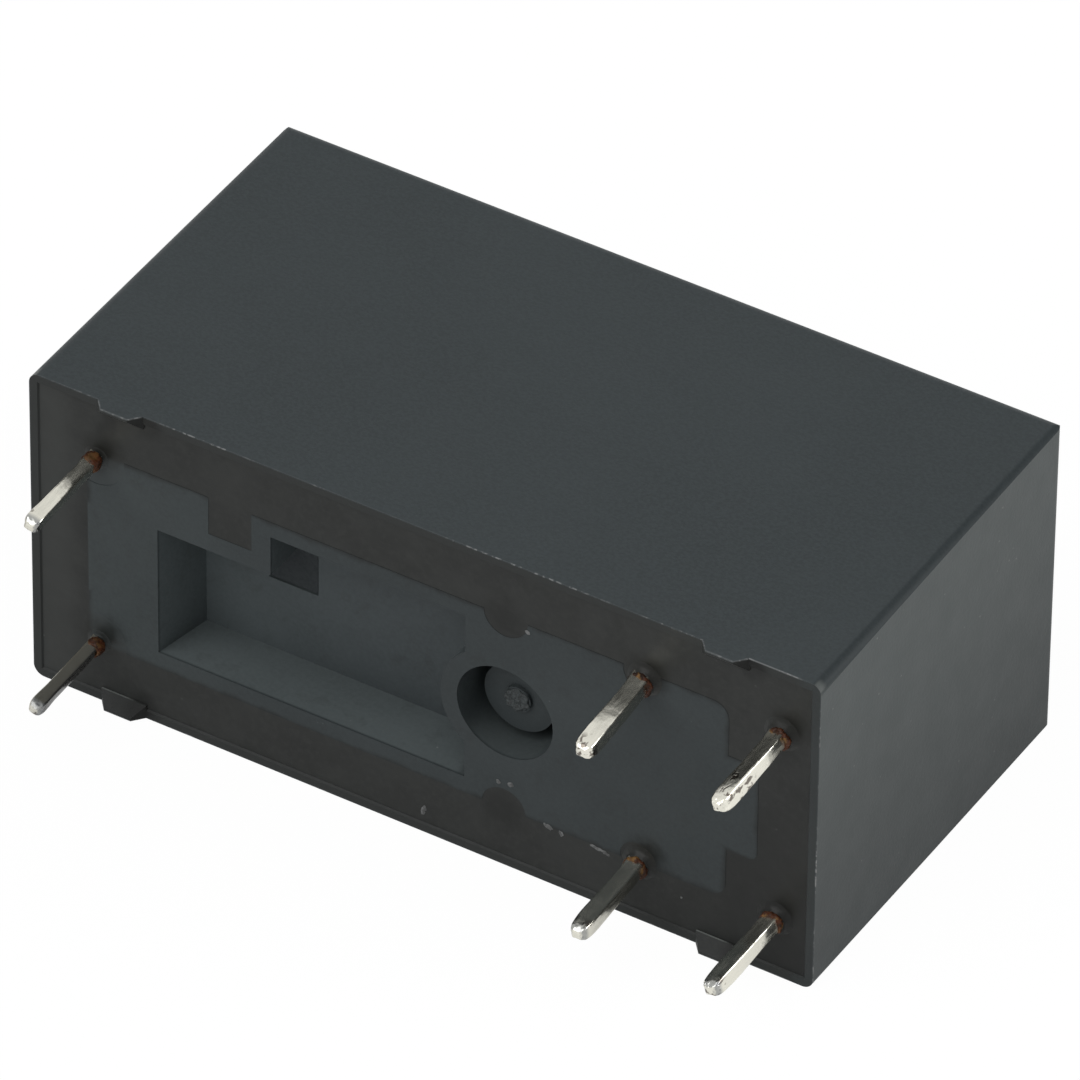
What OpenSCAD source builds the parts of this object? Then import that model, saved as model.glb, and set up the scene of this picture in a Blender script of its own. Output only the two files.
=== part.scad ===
// PCB power relay with one normally-open contact and a resin-sealed underside.
// x runs along the body, y from the board seat to the cover's top, z across the two pin rows.

/* [Cover] */
// Length over the cover
body_l = 28.8; // [26:0.1:33]
// Width over the cover
body_w = 12.3; // [11.2:0.1:14]
// Height from the board seat to the cover's top
body_h = 15.5; // [14:0.1:17.5]
// Side wall
wall = 0.7; // [0.55:0.05:0.75]
// Top wall
roof = 0.8; // [0.5:0.05:0.9]
// Rounding of the outer edges
edge_r = 0.4; // [0.2:0.05:0.5]
// Lean of each end face over the height
draft = 0.12; // [0.02:0.02:0.2]
// Flat left on the rim outside its chamfer
land = 0.3; // [0.15:0.05:0.4]
// Depth of the chamfer inside the rim
mouth_d = 0.5; // [0.3:0.05:0.7]
// Height of the stand-off feet
foot_h = 0.4; // [0.2:0.05:0.6]
// Length of a foot at its tip
foot_l = 1; // [0.6:0.1:2]
// Width of a foot at the rim
foot_w = 0.5; // [0.3:0.05:0.55]
// Flat left across the tip of a foot
foot_flat = 0.1; // [0.05:0.01:0.2]
// Spread of a foot's sloped ends at the rim
foot_slope = 0.34; // [0.1:0.02:0.6]
// Distance of the feet from the ends
foot_end = 3.4; // [2.5:0.1:5]

/* [Pins] */
// Coil pins from the coil end
coil_edge = 2.4; // [2.2:0.05:2.8]
// Last contact pins from the contact end
pin_edge = 1.4; // [1.25:0.05:1.8]
// First to second contact pins
pitch_pair = 5; // [4.9:0.05:5.1]
// Spacing of the two pin rows
row = 7.5; // [7.3:0.05:7.7]
// Pin length below the board seat
pin_drop = 3.5; // [2.5:0.1:4.5]
// Sheet thickness of the contact terminals
sheet = 0.55; // [0.4:0.05:0.6]
// Width of a contact pin across the rows
pin_w = 0.5; // [0.4:0.05:0.6]
// Side of the square coil pins
coil_pin = 0.4; // [0.3:0.05:0.5]
// Length of the tapered tips
tip_l = 0.35; // [0.2:0.05:0.6]
// Taper of the tips on each side
tip_in = 0.12; // [0.05:0.01:0.14]

/* [Base] */
// Base face below the rim
face_drop = 0.05; // [0.02:0.01:0.15]
// Resin below the raised face
resin_drop = 0.01; // [0.01:0.01:0.1]
// Thickness of the raised face
face_t = 1.1; // [0.9:0.05:1.3]
// Thickness of the flange behind it
flange_t = 1.1; // [0.9:0.05:1.3]
// Width of the raised face
face_w = 7.8; // [7.4:0.1:8.2]
// Coil end of the raised face beyond the coil pins
face_over = 0.3; // [0.1:0.05:0.6]
// Gap from the raised face's contact end to the last pins
face_gap = 1.85; // [1.5:0.05:2.1]
// Corner radius of the raised face
face_r = 0.6; // [0.2:0.05:0.8]
// Length of the tab at the contact end
tab_l = 1.1; // [0.6:0.05:1.3]
// Width of that tab
tab_w = 3.8; // [2.5:0.1:4.5]
// Clear radius round a coil pin
coil_relief = 1.1; // [0.8:0.05:1.3]
// Clear radius round a contact pin
pin_relief = 0.65; // [0.5:0.05:0.8]
// Radius of the half-round side notches
notch_r = 0.8; // [0.5:0.05:1]
// Depth of the recess
recess_d = 2.15; // [1.8:0.05:2.4]
// Floor left behind the recess
floor_t = 0.8; // [0.6:0.05:1]
// Coil end of the recess from the coil pins
recess_gap = 2.3; // [2:0.1:2.8]
// Lower side of the recess from the middle
recess_low = 3.25; // [3:0.05:3.35]
// Upper side of its narrow part from the middle
recess_mid = 1.75; // [1.3:0.05:2.2]
// Upper side of its wide part from the middle
recess_high = 3.3; // [3:0.05:3.35]
// Length of the narrow part
recess_step = 4.2; // [3.8:0.1:5]
// Lean of the recess's end wall
recess_lean = 0.44; // [0.1:0.02:0.6]
// Square filled pocket, along the body
pocket_l = 1.6; // [1:0.1:2]
// Square filled pocket, across the body
pocket_w = 1.47; // [1:0.01:1.6]
// Pocket's start from the recess's end
pocket_gap = 1.9; // [1.6:0.1:2.2]

/* [Gate] */
// Centre of the gate recess from the first contact pins
gate_gap = 4.9; // [4.6:0.1:5.2]
// Radius of the gate recess
gate_r = 1.75; // [1.5:0.05:2]
// Radius of the post in it
post_r = 1.28; // [0.9:0.02:1.4]
// Drop of the post's end below the face
post_drop = 0.88; // [0.4:0.02:1.2]
// Depth of the groove round the post
groove_d = 2.1; // [1.6:0.05:2.3]
// Wall round the gate recess
boss_t = 0.6; // [0.4:0.05:0.8]
// Radius of the broken gate's stub
stub_r = 0.48; // [0.3:0.02:0.6]
// Height of that stub
stub_h = 0.12; // [0.05:0.01:0.3]

/* [Magnet] */
// Thickness of the yoke
yoke_t = 1.3; // [1:0.05:1.4]
// Width of the yoke's long leg
yoke_w = 6; // [5:0.1:6.2]
// Yoke's upright leg beyond the winding on each side
upright_over = 0.15; // [0:0.05:0.3]
// Boss pressed out of the yoke, along the body
lock_l = 1.73; // [1.2:0.01:2]
// Boss pressed out of the yoke, across the body
lock_w = 1.52; // [1.2:0.01:1.8]
// Boss's middle from the recess's end
lock_x = 3.7; // [3.2:0.05:4]
// Boss's middle off the centre line
lock_z = 0.39; // [0:0.01:0.6]
// Core radius as a share of the room inside the winding's outer layer
core_part = 0.667; // [0.6:0.001:0.7]
// Pole face edge to the row of coil pins
pole_gap = 0.75; // [0.7:0.05:1]
// Pole face thickness
pole_t = 1.1; // [0.8:0.05:1.3]
// Wall of the bobbin's tube
tube_t = 0.6; // [0.4:0.05:0.7]
// Bobbin flange thickness
cheek_t = 0.8; // [0.6:0.05:1]
// Bobbin flange beyond the winding on each side
cheek_over = 0.89; // [0.7:0.01:1]
// Wall outside a coil pin in its lug
lug_wall = 0.45; // [0.3:0.05:0.6]
// Wall of the card's guides
guide_t = 0.7; // [0.5:0.05:0.8]
// Lip of the guides over the card
guide_lip = 0.5; // [0.3:0.05:0.8]
// Thickness of the tape round the winding
tape_t = 0.06; // [0.04:0.01:0.1]
// Winding wire drawn at the leads
wire_d = 0.12; // [0.08:0.01:0.16]
// Turns of a lead round its pin
lead_turns = 4; // [3:1:5]
// Air under and over the winding inside the flanges
coil_air = 0.35; // [0.3:0.05:0.5]
// Yoke's armature end from the coil pins
heel = 0.7; // [0.6:0.05:0.9]
// Gap from the yoke to the wall before the contacts
yoke_gap = 0.4; // [0.35:0.05:0.6]
// Height of the pin lugs on the bobbin
lug_h = 2; // [1.6:0.1:2.4]
// Gap beside the moving armature
side_gap = 0.15; // [0.1:0.01:0.2]
// Armature thickness
arm_t = 1.15; // [0.9:0.05:1.2]
// Armature width
arm_w = 5.8; // [5:0.1:5.9]
// Width of the armature's tongue
tongue_w = 4.2; // [3:0.1:4.6]
// Open angle of the armature
tilt = 5; // [4:0.1:5.5]
// Thickness of the hinge spring
leaf_t = 0.15; // [0.1:0.01:0.2]
// Width of the hinge spring
leaf_w = 3.2; // [2:0.1:4]

/* [Contacts] */
// Wall between coil and contacts
part_t = 0.7; // [0.5:0.05:0.8]
// Wall before the contacts to the first contact pins
chamber_gap = 2.4; // [2.2:0.05:2.6]
// Room under the cover's top for the card
card_room = 2.28; // [2.1:0.02:2.6]
// Card thickness
card_t = 1; // [0.8:0.05:1.1]
// Card width
card_w = 4.4; // [3.6:0.1:4.8]
// Contact spring thickness
spring_t = 0.15; // [0.1:0.01:0.2]
// Contact spring width at its root
spring_w = 4.4; // [3.8:0.1:4.8]
// Contact spring width at the card
spring_end_w = 3.2; // [2.4:0.1:3.6]
// Contacts below the card's line of push
contact_drop = 2.72; // [2.4:0.02:3]
// Height of the spring's clamped root
root_h = 2.35; // [2.1:0.05:2.6]
// Height of the fixed terminal's crank
run_h = 2.05; // [1.8:0.05:2.3]
// Width of the fixed terminal's blade
blade_w = 4.8; // [4:0.1:5.2]
// Contact radius
contact_r = 1.5; // [1.2:0.05:1.7]
// Contact head thickness
contact_t = 0.6; // [0.5:0.05:0.7]
// Crown radius of the moving contact
crown_r = 4.5; // [4:0.1:6]
// Open contact gap
contact_gap = 0.55; // [0.5:0.05:0.65]
// Contact shank radius
shank_r = 0.6; // [0.4:0.05:0.7]
// Rivet shank radius
rivet_r = 0.35; // [0.25:0.05:0.4]
// Spacing of the two spring rivets
rivet_gap = 2.4; // [2:0.1:2.6]

/* [Fits] */
// Clearance between seated pieces
fit = 0.05; // [0.02:0.01:0.06]
// Clearance between moving pieces
slip = 0.05; // [0.04:0.01:0.06]
// Gap drawn between resin and pins
seal = 0.01; // [0.005:0.005:0.02]

/* [Hidden] */
$fn = 48;
eps = 0.01;

rim_y = foot_h;
face_y = rim_y + face_drop;
resin_y = face_y + resin_drop;
flange_y = face_y + face_t;
deck_y = flange_y + flange_t;
floor_y = face_y + recess_d;
bed_y = max(floor_y + floor_t, deck_y);
in_x = body_l / 2 - wall;
in_z = body_w / 2 - wall;
roof_y = body_h - roof;

coil_x = coil_edge - body_l / 2;
no_x = body_l / 2 - pin_edge;
com_x = no_x - pitch_pair;
foot_x = body_l / 2 - foot_end;
row_z = row / 2;

face_x0 = coil_x - face_over;
face_x1 = no_x - face_gap;
recess_x0 = coil_x + recess_gap;
step_x = recess_x0 + recess_step;
gate_x = com_x - gate_gap;
boss_r = gate_r + boss_t;
recess_x1 = gate_x - boss_r * 0.62;
lock_mid = recess_x0 + lock_x;

part_x = com_x - chamber_gap;
yoke_x0 = coil_x + heel;
yoke_x1 = part_x - yoke_gap;
upright_x = yoke_x1 - yoke_t;
yoke_y = bed_y + yoke_t;
cheek_y = roof_y - card_room;
axis_y = (yoke_y + cheek_y) / 2;
coil_r = cheek_y - axis_y - coil_air - tape_t;
core_r = core_part * (coil_r - tube_t);
pole_r = row_z - pole_gap;
cheek_w = 2 * (coil_r + tape_t + cheek_over);
upright_w = 2 * (coil_r + upright_over);
cheek_x0 = yoke_x0 + pole_t;
wind_x0 = cheek_x0 + cheek_t;
wind_x1 = upright_x - cheek_t;
lug_z = yoke_w / 2 + side_gap;
lug_out = row_z + coil_pin / 2 + lug_wall;
wrap_r = coil_pin * 0.7072 + wire_d / 2;
lead_z = row_z - wrap_r;
lead_r = coil_r + wire_d / 2 + fit / 2;
lead_y = axis_y - sqrt(max(lead_r * lead_r - lead_z * lead_z, 0));

pivot = [yoke_x0 - slip, bed_y + side_gap];
card_y = cheek_y + 2 * slip;
push_y = card_y + card_t / 2;
nose_r = card_t / 2;
arm_h = card_y + card_t - pivot[1];
limb_y = bed_y - fit - leaf_t;
arm_back = arm_t + fit + leaf_t;
limb_end = (limb_y - pivot[1] + arm_back * sin(tilt)) / cos(tilt);
card_x0 = pivot[0] - (push_y - pivot[1]) * tan(tilt) + (nose_r + slip) / cos(tilt);

spring_x = com_x + sheet / 2;
head_x = spring_x + spring_t;
fixed_x = head_x + contact_t + contact_gap;
blade_x = fixed_x + contact_t;
contact_y = push_y - contact_drop;
root_y = deck_y + root_h;
run_y = deck_y + run_h;
card_x1 = spring_x - slip - nose_r;

// A shape drawn in x and z, raised along y
module plan(y0, h) {
    translate([0, y0 + h, 0]) rotate([90, 0, 0]) linear_extrude(h) children();
}

// A shape drawn in x and y, raised along z about the middle plane
module across(w) {
    translate([0, 0, -w / 2]) linear_extrude(w) children();
}

// A shape drawn in y and z, raised along x
module along(x0, l) {
    translate([x0, 0, 0]) rotate([90, 0, 90]) linear_extrude(l) children();
}

module rect(a0, a1, b0, b1) {
    translate([a0, b0]) square([a1 - a0, b1 - b0]);
}

module round_rect(a0, a1, b0, b1, r) {
    rect(a0 + r, a1 - r, b0, b1);
    rect(a0, a1, b0 + r, b1 - r);
    for (a = [a0 + r, a1 - r], b = [b0 + r, b1 - r]) translate([a, b]) circle(r);
}

module slab(x0, x1, y0, y1, w) {
    translate([x0, y0, -w / 2]) cube([x1 - x0, y1 - y0, w]);
}

module rod(x0, x1, y, r) {
    translate([x0, y, 0]) rotate([0, 90, 0]) cylinder(h = x1 - x0, r = r);
}

module both_rows() {
    for (s = [-1, 1]) translate([0, 0, s * row_z]) children();
}

// Cover

module end_view() {
    top_x = body_l / 2 - draft;
    polygon([[-body_l / 2, rim_y], [body_l / 2, rim_y], [top_x, body_h - edge_r], [-top_x, body_h - edge_r]]);
    rect(edge_r - top_x, top_x - edge_r, rim_y, body_h);
    for (s = [-1, 1]) translate([s * (top_x - edge_r), body_h - edge_r]) circle(edge_r);
}

module side_view() {
    half = body_w / 2;
    rect(rim_y, body_h - edge_r, -half, half);
    rect(rim_y, body_h, edge_r - half, half - edge_r);
    for (s = [-1, 1]) translate([body_h - edge_r, s * (half - edge_r)]) circle(edge_r);
}

module mouth() {
    rim_x = body_l / 2 - land;
    rim_z = body_w / 2 - land;
    low = rim_y - eps;
    deep = rim_y + mouth_d;
    intersection() {
        across(body_w) polygon([[-rim_x, low], [rim_x, low], [rim_x, rim_y], [in_x, deep], [-in_x, deep],
            [-rim_x, rim_y]]);
        along(-body_l / 2, body_l) polygon([[low, -rim_z], [low, rim_z], [rim_y, rim_z], [deep, in_z],
            [deep, -in_z], [rim_y, -rim_z]]);
    }
}

module feet() {
    deep = rim_y + mouth_d;
    tip = foot_l / 2;
    root = tip + foot_slope;
    for (sx = [-1, 1], sz = [-1, 1]) translate([sx * foot_x, 0, sz * body_w / 2]) scale([1, 1, sz])
        intersection() {
            translate([0, 0, -foot_w / 2]) across(foot_w) polygon([[-tip, 0], [tip, 0], [root, rim_y],
                [root, deep], [-root, deep], [-root, rim_y]]);
            along(-root, 2 * root) polygon([[0, 0], [0, -foot_flat], [rim_y, -foot_w], [deep, -foot_w],
                [deep, 0]]);
        }
}

module cover() color([0.33, 0.34, 0.36]) {
    difference() {
        intersection() {
            plan(rim_y, body_h - rim_y)
                round_rect(-body_l / 2, body_l / 2, -body_w / 2, body_w / 2, edge_r);
            across(body_w) end_view();
            along(-body_l / 2, body_l) side_view();
        }
        mouth();
        slab(-in_x, in_x, rim_y - eps, roof_y, 2 * in_z);
    }
    feet();
}

// Base and resin

module face_outline() {
    difference() {
        union() {
            round_rect(face_x0, face_x1, -face_w / 2, face_w / 2, face_r);
            round_rect(face_x1 - 2 * face_r, face_x1 + tab_l, -tab_w / 2, tab_w / 2, face_r / 2);
        }
        for (s = [-1, 1]) {
            translate([coil_x, s * row_z]) circle(coil_relief);
            translate([com_x, s * row_z]) circle(pin_relief);
            translate([gate_x, s * face_w / 2]) circle(notch_r);
        }
        rect(recess_x0 + pocket_gap, recess_x0 + pocket_gap + pocket_l,
            face_w / 2 - pocket_w, face_w / 2 + eps);
    }
}

module recess_outline() {
    difference() {
        union() {
            rect(recess_x0, recess_x1, -recess_low, recess_mid);
            rect(step_x, recess_x1, -recess_low, recess_high);
        }
        translate([gate_x, 0]) circle(boss_r);
    }
}

module pin_holes(gap) {
    both_rows() {
        slab(coil_x - coil_pin / 2 - gap, coil_x + coil_pin / 2 + gap, 0, bed_y, coil_pin + 2 * gap);
        for (x = [com_x, no_x]) slab(x - sheet / 2 - gap, x + sheet / 2 + gap, 0, bed_y, pin_w + 2 * gap);
    }
}

module base() color([0.42, 0.45, 0.48]) {
    difference() {
        union() {
            plan(face_y, face_t + eps) face_outline();
            slab(fit - in_x, in_x - fit, flange_y, deck_y, 2 * (in_z - fit));
            slab(recess_x0 - 0.6, part_x, deck_y - eps, bed_y, 2 * (recess_high + 0.7));
            slab(part_x, part_x + part_t, deck_y - eps, cheek_y - 2 * slip, 2 * (in_z - fit));
            slab(part_x, com_x - sheet / 2, deck_y - eps, root_y, row + 0.9);
            slab(blade_x, no_x - sheet / 2, deck_y - eps, run_y, blade_w + 8 * fit);
        }
        plan(0, floor_y) recess_outline();
        plan(0, face_y + post_drop) translate([gate_x, 0]) circle(gate_r);
        plan(0, face_y + groove_d) translate([gate_x, 0]) difference() {
            circle(gate_r);
            circle(post_r);
        }
        pin_holes(fit);
        translate([0, 0, lock_z])
            slab(lock_mid - lock_l / 2 - fit, lock_mid + lock_l / 2 + fit, floor_y - eps, bed_y + eps,
                lock_w + 2 * fit);
    }
    translate([0, 0, (recess_mid - recess_low) / 2]) across(recess_mid + recess_low)
        polygon([[recess_x0, face_y], [recess_x0, floor_y], [recess_x0 + recess_lean, floor_y]]);
    plan(face_y + post_drop - stub_h, stub_h) translate([gate_x, 0]) circle(stub_r, $fn = 14);
}

module sealing_resin() color([0.36, 0.33, 0.29]) {
    difference() {
        union() {
            intersection() {
                mouth();
                slab(-body_l / 2, body_l / 2, resin_y, rim_y + mouth_d, body_w);
            }
            slab(-in_x, in_x, rim_y + mouth_d - eps, flange_y, 2 * in_z);
        }
        plan(rim_y, flange_y - rim_y + eps) face_outline();
        feet();
        pin_holes(seal);
    }
}

// Magnet system

module yoke() color([0.30, 0.31, 0.32]) {
    difference() {
        union() {
            slab(yoke_x0, yoke_x1, bed_y, yoke_y, yoke_w);
            along(upright_x, yoke_t)
                round_rect(bed_y, axis_y + core_r + 1.1, -upright_w / 2, upright_w / 2, 0.5);
            translate([0, 0, lock_z])
                slab(lock_mid - lock_l / 2, lock_mid + lock_l / 2, floor_y + fit, bed_y + eps, lock_w);
        }
        rod(upright_x - eps, yoke_x1 + eps, axis_y, core_r - 0.4 + fit);
    }
}

module core() color([0.62, 0.62, 0.60]) {
    translate([yoke_x0, axis_y, 0]) rotate([0, 90, 0]) rotate_extrude()
        polygon([[0, 0], [pole_r, 0], [pole_r, pole_t], [core_r, pole_t], [core_r, upright_x - yoke_x0],
            [core_r - 0.4, upright_x - yoke_x0], [core_r - 0.4, yoke_x1 - yoke_x0],
            [core_r, yoke_x1 - yoke_x0], [core_r - 0.3, yoke_x1 - yoke_x0 + 0.3],
            [0, yoke_x1 - yoke_x0 + 0.3]]);
}

module card_guide(x0) {
    for (s = [-1, 1]) scale([1, 1, s]) {
        rail = card_w / 2 + 2 * slip;
        translate([x0, cheek_y - eps, rail]) cube([cheek_t, card_t + 4 * slip + eps, guide_t]);
        translate([x0, card_y + card_t + 2 * slip, rail - guide_lip])
            cube([cheek_t, guide_t / 2, guide_t + guide_lip]);
    }
}

module bobbin() color([0.16, 0.16, 0.17]) {
    difference() {
        union() {
            rod(cheek_x0, upright_x, axis_y, core_r + fit + tube_t);
            for (x = [cheek_x0, wind_x1]) {
                along(x, cheek_t) round_rect(yoke_y + fit, cheek_y, -cheek_w / 2, cheek_w / 2, 0.6);
                card_guide(x);
            }
            for (s = [-1, 1]) scale([1, 1, s]) {
                translate([coil_x - 0.5, bed_y + fit, lug_z])
                    cube([wind_x0 - coil_x + 0.5, lug_h, lug_out - lug_z]);
                translate([coil_x - 0.5, deck_y, lug_z])
                    cube([recess_x0 - 0.6 - fit - coil_x + 0.5, bed_y - deck_y + 1, lug_out - lug_z]);
            }
        }
        rod(cheek_x0 - eps, upright_x + eps, axis_y, core_r + fit);
        both_rows()
            slab(coil_x - (coil_pin + fit) / 2, coil_x + (coil_pin + fit) / 2, 0, lead_y, coil_pin + fit);
        for (s = [-1, 1]) scale([1, 1, s])
            translate([cheek_x0 - eps, lead_y - 0.15, lead_z - 0.15])
                cube([cheek_t + 2 * eps, 0.3, cheek_w]);
    }
}

module ring_tube(x0, x1, r0, r1) {
    difference() {
        rod(x0, x1, axis_y, r1);
        rod(x0 - eps, x1 + eps, axis_y, r0);
    }
}

module coil_winding() color([0.55, 0.28, 0.14]) ring_tube(wind_x0, wind_x1, core_r + fit + tube_t, coil_r);

module coil_tape() color([0.72, 0.58, 0.22]) ring_tube(wind_x0 + 0.8, wind_x1, coil_r, coil_r + tape_t);

// A straight pin with tapered tip, its top at y_top
module pin(w, d, y_top) {
    y0 = -pin_drop;
    intersection() {
        across(d) polygon([[-w / 2, y_top], [-w / 2, y0 + tip_l], [tip_in - w / 2, y0], [w / 2 - tip_in, y0],
            [w / 2, y0 + tip_l], [w / 2, y_top]]);
        along(-w / 2, w) polygon([[y_top, -d / 2], [y0 + tip_l, -d / 2], [y0, tip_in - d / 2],
            [y0, d / 2 - tip_in], [y0 + tip_l, d / 2], [y_top, d / 2]]);
    }
}

module coil_pin_at(s) translate([coil_x, 0, s * row_z]) pin(coil_pin, coil_pin, lead_y + 0.4);

module coil_pin_a() color([0.80, 0.80, 0.78]) coil_pin_at(1);

module coil_pin_b() color([0.80, 0.80, 0.78]) coil_pin_at(-1);

module coil_lead_at(s) {
    translate([coil_x, lead_y, s * row_z]) rotate([90, 0, 0]) rotate_extrude() {
        rect(wrap_r - wire_d / 2, wrap_r, 0, (lead_turns - 1) * wire_d);
        for (i = [0:lead_turns - 1]) translate([wrap_r, i * wire_d]) circle(wire_d / 2, $fn = 13);
    }
    translate([0, 0, s * lead_z]) rod(coil_x, wind_x0 + cheek_t, lead_y, wire_d / 2);
}

module coil_lead_a() color([0.60, 0.32, 0.16]) coil_lead_at(1);

module coil_lead_b() color([0.60, 0.32, 0.16]) coil_lead_at(-1);

module armature() color([0.58, 0.58, 0.57]) {
    translate([pivot[0], pivot[1], 0]) rotate([0, 0, tilt]) difference() {
        along(-arm_t, arm_t) {
            round_rect(0, arm_h - 1.6 * card_t, -arm_w / 2, arm_w / 2, 0.4);
            round_rect(arm_h - 3 * card_t, arm_h, -tongue_w / 2, tongue_w / 2, 0.4);
        }
        across(arm_w + 1) polygon([[-arm_t - eps, -eps], [-arm_t - eps, 0.35], [-arm_t + 0.35, -eps]]);
    }
}

module hinge_spring() color([0.72, 0.66, 0.48]) {
    across(leaf_w) {
        translate(pivot) rotate(tilt) rect(-arm_back, -arm_back + leaf_t, limb_end, arm_h * 0.45);
        rect(pivot[0] - arm_back * cos(tilt) - limb_end * sin(tilt) + leaf_t / 2, recess_x0 - 0.6 - fit,
            limb_y, limb_y + leaf_t);
    }
}

module card() color([0.86, 0.84, 0.78]) {
    difference() {
        across(card_w) {
            rect(card_x0, card_x1, card_y, card_y + card_t);
            for (x = [card_x0, card_x1]) translate([x, push_y]) circle(nose_r);
        }
        for (x = [wind_x0 + card_t, (wind_x0 + wind_x1 + card_t) / 2])
            plan(card_y - eps, card_t + 2 * eps)
                round_rect(x, x + (wind_x1 - wind_x0 - 3 * card_t) / 2, -card_w / 4, card_w / 4, 0.4);
    }
}

// Contact set

module com_terminal() color([0.74, 0.62, 0.36]) {
    difference() {
        union() {
            along(com_x - sheet / 2, sheet)
                round_rect(deck_y, root_y, -row_z - pin_w / 2 - 0.15, row_z + pin_w / 2 + 0.15, 0.3);
            both_rows() translate([com_x, 0, 0]) pin(sheet, pin_w, deck_y + 0.6);
        }
        rivet_shanks(rivet_r + fit / 2);
    }
}

module no_terminal() color([0.74, 0.62, 0.36]) {
    difference() {
        union() {
            across(blade_w) {
                rect(no_x - sheet / 2, no_x + sheet / 2, deck_y, run_y + sheet);
                rect(blade_x, no_x, run_y, run_y + sheet);
                rect(blade_x, blade_x + sheet, run_y, contact_y + contact_r + 0.3);
            }
            along(no_x - sheet / 2, sheet)
                round_rect(deck_y, run_y - 0.6, -row_z - pin_w / 2 - 0.15, row_z + pin_w / 2 + 0.15, 0.3);
            both_rows() translate([no_x, 0, 0]) pin(sheet, pin_w, deck_y + 0.6);
        }
        rod(blade_x - eps, blade_x + sheet + eps, contact_y, shank_r + fit / 2);
    }
}

module rivet_shanks(r) {
    for (s = [-1, 1]) translate([0, 0, s * rivet_gap / 2])
        rod(com_x - sheet / 2, head_x, (deck_y + root_y) / 2, r);
}

module spring_rivets() color([0.78, 0.70, 0.46]) {
    grip = sheet + spring_t;
    for (s = [-1, 1]) translate([com_x - sheet / 2, (deck_y + root_y) / 2, s * rivet_gap / 2])
        rotate([0, 90, 0]) rotate_extrude()
            polygon([[0, 0], [rivet_r, 0], [rivet_r, grip], [rivet_r + 0.25, grip],
                [rivet_r + 0.25, grip + 0.12], [rivet_r, grip + 0.3], [0, grip + 0.3]]);
}

module moving_spring() color([0.78, 0.52, 0.30]) {
    difference() {
        along(spring_x, spring_t) polygon([[deck_y + 0.25, -spring_w / 2], [root_y, -spring_w / 2],
            [push_y + 0.6, -spring_end_w / 2], [push_y + 0.6, spring_end_w / 2],
            [root_y, spring_w / 2], [deck_y + 0.25, spring_w / 2]]);
        rivet_shanks(rivet_r + fit / 2);
        rod(spring_x - eps, head_x + eps, contact_y, shank_r + fit / 2);
    }
}

// Contact rivet turned about x: head from 0 to contact_t, tail behind a sheet of thickness t
module contact_rivet(t) {
    rotate([0, 90, 0]) rotate_extrude()
        polygon([[0, -t - 0.25], [shank_r + 0.25, -t - 0.25], [shank_r + 0.35, -t], [shank_r, -t],
            [shank_r, 0], [contact_r, 0], [contact_r, contact_t - 0.15],
            [contact_r - 0.15, contact_t], [0, contact_t]]);
}

module moving_contact() color([0.82, 0.82, 0.80]) {
    translate([head_x, contact_y, 0]) intersection() {
        contact_rivet(spring_t);
        translate([contact_t - crown_r, 0, 0]) sphere(r = crown_r, $fn = 96);
    }
}

module fixed_contact() color([0.82, 0.82, 0.80]) {
    translate([blade_x, contact_y, 0]) rotate([0, 0, 180]) contact_rivet(sheet);
}

cover();
base();
sealing_resin();
yoke();
core();
bobbin();
coil_winding();
coil_tape();
coil_pin_a();
coil_pin_b();
coil_lead_a();
coil_lead_b();
armature();
hinge_spring();
card();
com_terminal();
no_terminal();
moving_spring();
moving_contact();
spring_rivets();
fixed_contact();
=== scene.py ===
"""Looks of a PCB power relay that lies on its long side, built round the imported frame."""

import math

import bmesh
import bpy
from bpy.props import FloatProperty, FloatVectorProperty, PointerProperty
from mathutils import Matrix, Vector


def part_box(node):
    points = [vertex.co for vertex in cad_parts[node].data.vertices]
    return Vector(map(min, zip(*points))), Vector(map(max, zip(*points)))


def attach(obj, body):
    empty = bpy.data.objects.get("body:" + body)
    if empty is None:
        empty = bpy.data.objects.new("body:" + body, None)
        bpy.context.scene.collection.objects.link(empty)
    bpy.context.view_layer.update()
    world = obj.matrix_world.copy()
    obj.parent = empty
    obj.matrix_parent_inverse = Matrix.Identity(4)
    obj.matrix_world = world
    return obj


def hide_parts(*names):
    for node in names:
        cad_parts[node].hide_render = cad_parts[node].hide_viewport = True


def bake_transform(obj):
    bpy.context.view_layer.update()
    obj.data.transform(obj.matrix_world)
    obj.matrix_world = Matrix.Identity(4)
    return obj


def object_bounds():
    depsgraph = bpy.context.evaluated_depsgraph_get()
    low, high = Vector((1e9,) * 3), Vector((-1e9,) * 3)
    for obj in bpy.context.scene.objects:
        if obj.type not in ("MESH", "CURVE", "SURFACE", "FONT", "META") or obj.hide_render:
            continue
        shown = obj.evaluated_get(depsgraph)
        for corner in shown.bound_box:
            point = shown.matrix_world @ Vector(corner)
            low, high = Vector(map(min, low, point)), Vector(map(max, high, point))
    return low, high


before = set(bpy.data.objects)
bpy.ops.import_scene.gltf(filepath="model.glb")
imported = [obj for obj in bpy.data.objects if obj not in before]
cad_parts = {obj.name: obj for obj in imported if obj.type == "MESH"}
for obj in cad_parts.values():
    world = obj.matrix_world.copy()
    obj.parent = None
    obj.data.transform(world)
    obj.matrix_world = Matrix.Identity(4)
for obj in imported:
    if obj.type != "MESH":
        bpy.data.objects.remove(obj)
CAD_BOX = [list(corner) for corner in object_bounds()]

bl_info = {
    "name": "PCB power relay",
    "version": (1, 0, 0),
    "blender": (4, 5, 0),
    "location": "3D View > Sidebar > Relay",
    "description": "Dresses the packed relay: plastics, resin, tinned pins and the works inside",
    "category": "Object",
}

# Millimetres in a metre
MM = 1000

# Places on the relay, in millimetres, mostly taken from the imported solids, some given


def box_mm(node):
    low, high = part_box(node)
    return low * MM, high * MM


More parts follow.
